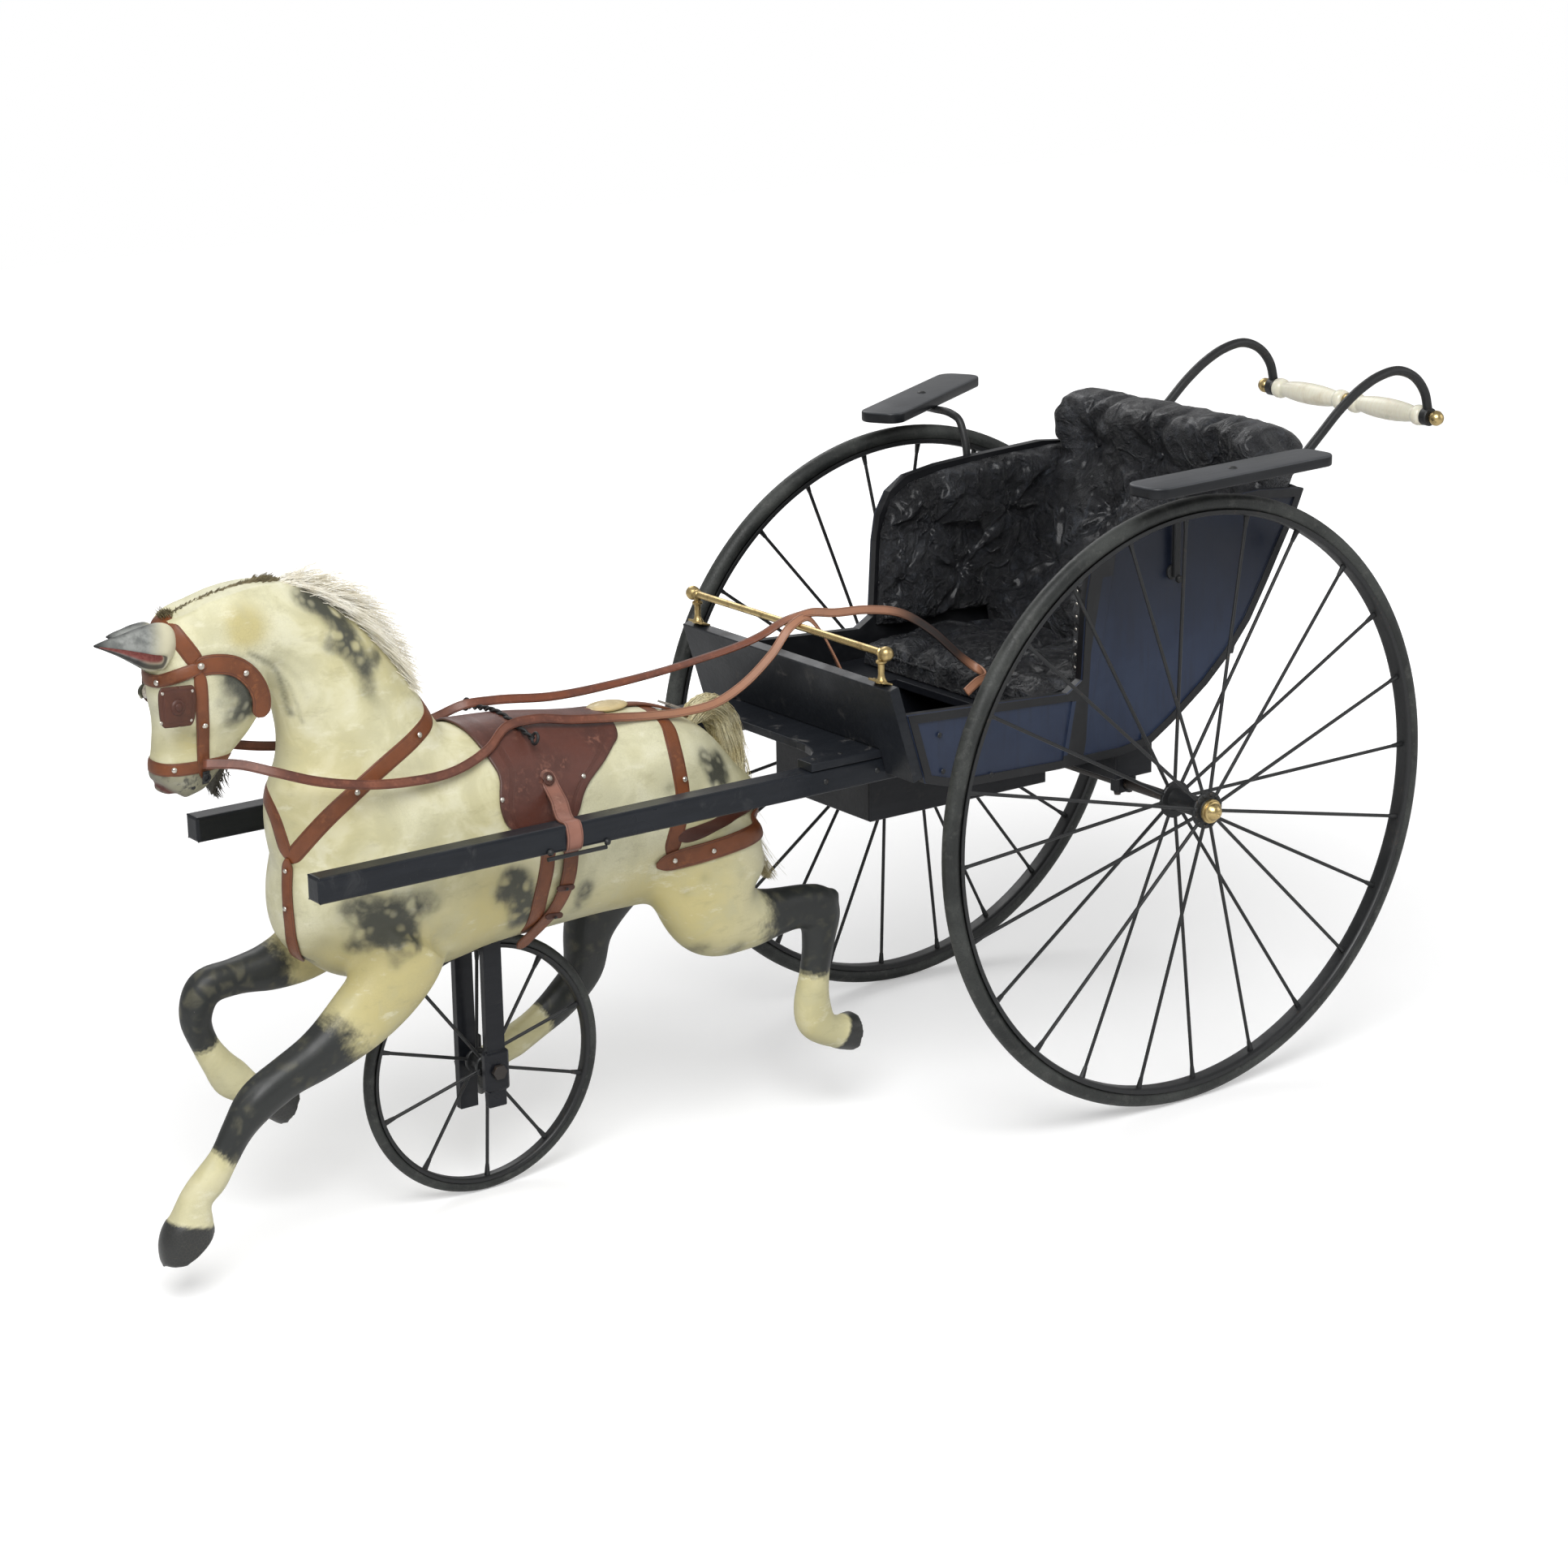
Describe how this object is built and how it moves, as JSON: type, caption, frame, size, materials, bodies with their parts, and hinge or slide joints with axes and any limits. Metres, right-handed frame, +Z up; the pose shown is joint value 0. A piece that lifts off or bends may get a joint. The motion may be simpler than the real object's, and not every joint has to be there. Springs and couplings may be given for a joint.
{
  "type": "horse and gig toy",
  "caption": "Ride-in toy gig with spoked wheels, padded seat, swivelling armrests and a push handle, drawn by a dappled horse in harness on a front wheel.",
  "frame": {"origin": "centre of the bounding box at ground level, reins left out", "axes": "+X towards the push handle, -X towards the horse's head, +Z up, -Y the near side as the picture shows it"},
  "size_m": [1.4762, 0.6174, 0.6753],
  "materials": {
    "coat": "satin painted ivory with grey dapples",
    "ear": "matt grey",
    "eye": "gloss",
    "hair": "matt fibres",
    "tan_leather": "worn satin",
    "black_paint": "satin paint",
    "blue_paint": "satin paint",
    "black_leather": "soft gloss",
    "iron": "worn black paint",
    "tyre_rubber": "matt",
    "brass": "aged",
    "cream_grip": "gloss"
  },
  "bodies": {
    "gig_and_horse": {"axle_beam": "black_paint", "back_pad": "black_leather", "back_panel": "black_paint", "body_floor": "black_paint", "breast_strap": "tan_leather", "breeching": "tan_leather", "bridle": "tan_leather", "crupper_strap": "tan_leather", "dash_rail": "brass", "dashboard": "black_paint", "foot_well": "black_paint", "footboard": "black_paint", "front_axle": "iron", "handle_rod": "brass", "horse_neck_head": "coat", "horse_torso": "coat", "mane": "hair", "near_armrest_stay": "iron", "near_blinker": "tan_leather", "near_ear": "ear", "near_eye": "eye", "near_foreleg": "coat", "near_fork_post": "black_paint", "near_girth_strap": "tan_leather", "near_handle_tube": "iron", "near_hind_leg": "coat", "near_rein": "tan_leather", "near_shaft": "black_paint", "near_side_panel": "blue_paint", "near_wing_pad": "black_leather", "off_armrest_stay": "iron", "off_blinker": "tan_leather", "off_ear": "ear", "off_eye": "eye", "off_foreleg": "coat", "off_fork_post": "black_paint", "off_girth_strap": "tan_leather", "off_handle_tube": "iron", "off_hind_leg": "coat", "off_rein": "tan_leather", "off_shaft": "black_paint", "off_side_panel": "blue_paint", "off_wing_pad": "black_leather", "rear_axle": "iron", "saddle": "tan_leather", "seat_cushion": "black_leather", "tail": "hair", "terret_bar": "iron"},
    "near_wheel": {"near_rear_wheel": "iron", "near_rear_tyre": "tyre_rubber", "near_hub_cap": "brass"},
    "off_wheel": {"off_rear_wheel": "iron", "off_rear_tyre": "tyre_rubber", "off_hub_cap": "brass"},
    "front_wheel_body": {"front_wheel": "iron", "front_tyre": "tyre_rubber"},
    "near_arm": {"near_armrest": "black_paint"},
    "off_arm": {"off_armrest": "black_paint"},
    "near_grip_body": {"near_grip": "cream_grip"},
    "off_grip_body": {"off_grip": "cream_grip"}
  },
  "joints": [
    {"name": "near_wheel_spin", "type": "hinge", "parent": "gig_and_horse", "child": "near_wheel", "pos_m": [0.30155, -0.02362, 0.305], "axis": [0, 1, 0], "continuous": true},
    {"name": "off_wheel_spin", "type": "hinge", "parent": "gig_and_horse", "child": "off_wheel", "pos_m": [0.30155, -0.02362, 0.305], "axis": [0, 1, 0], "continuous": true},
    {"name": "front_wheel_spin", "type": "hinge", "parent": "gig_and_horse", "child": "front_wheel_body", "pos_m": [-0.36845, -0.02362, 0.1255], "axis": [0, 1, 0], "continuous": true},
    {"name": "near_armrest_swing", "type": "hinge", "parent": "gig_and_horse", "child": "near_arm", "pos_m": [0.32755, -0.27762, 0.6315], "axis": [0, 0, 1], "range_deg": [-60, 25]},
    {"name": "off_armrest_swing", "type": "hinge", "parent": "gig_and_horse", "child": "off_arm", "pos_m": [0.34955, 0.23038, 0.6315], "axis": [0, 0, 1], "range_deg": [-60, 30]},
    {"name": "near_grip_turn", "type": "hinge", "parent": "gig_and_horse", "child": "near_grip_body", "pos_m": [0.72655, -0.02362, 0.618], "axis": [0, 1, 0], "continuous": true},
    {"name": "off_grip_turn", "type": "hinge", "parent": "gig_and_horse", "child": "off_grip_body", "pos_m": [0.72655, -0.02362, 0.618], "axis": [0, 1, 0], "continuous": true}
  ]
}
